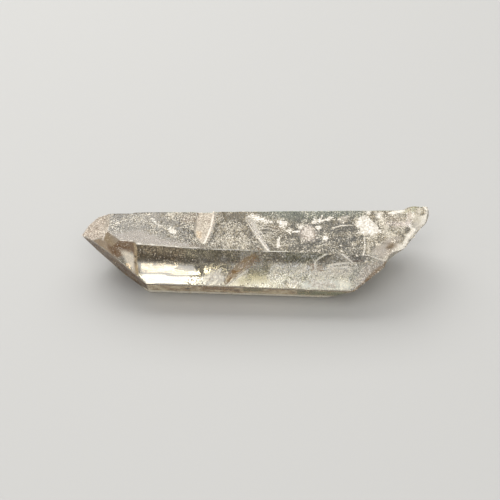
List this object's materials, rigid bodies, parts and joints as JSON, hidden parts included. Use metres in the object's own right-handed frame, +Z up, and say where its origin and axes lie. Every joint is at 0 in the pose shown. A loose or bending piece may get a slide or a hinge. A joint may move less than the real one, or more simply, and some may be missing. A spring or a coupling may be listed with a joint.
{
  "type": "chlorite quartz crystal",
  "caption": "Natural chlorite quartz point lying on a prism face: a tapering six-sided prism with a pointed termination and an obliquely broken end.",
  "frame": {"origin": "middle of the crystal's length and width, on the plane of the face that it rests on", "axes": "+X along the crystal's c axis towards the broken end, -X towards the natural point, -Y towards the front, +Z up"},
  "size_m": [0.0666, 0.0188, 0.0125],
  "materials": {
    "quartz": "natural clear quartz, glossy prism faces and frosted rhombohedral faces, faint grey-green chlorite tint, white veils and iron-brown stains"
  },
  "bodies": {
    "root": {"crystal": "quartz"}
  },
  "joints": []
}
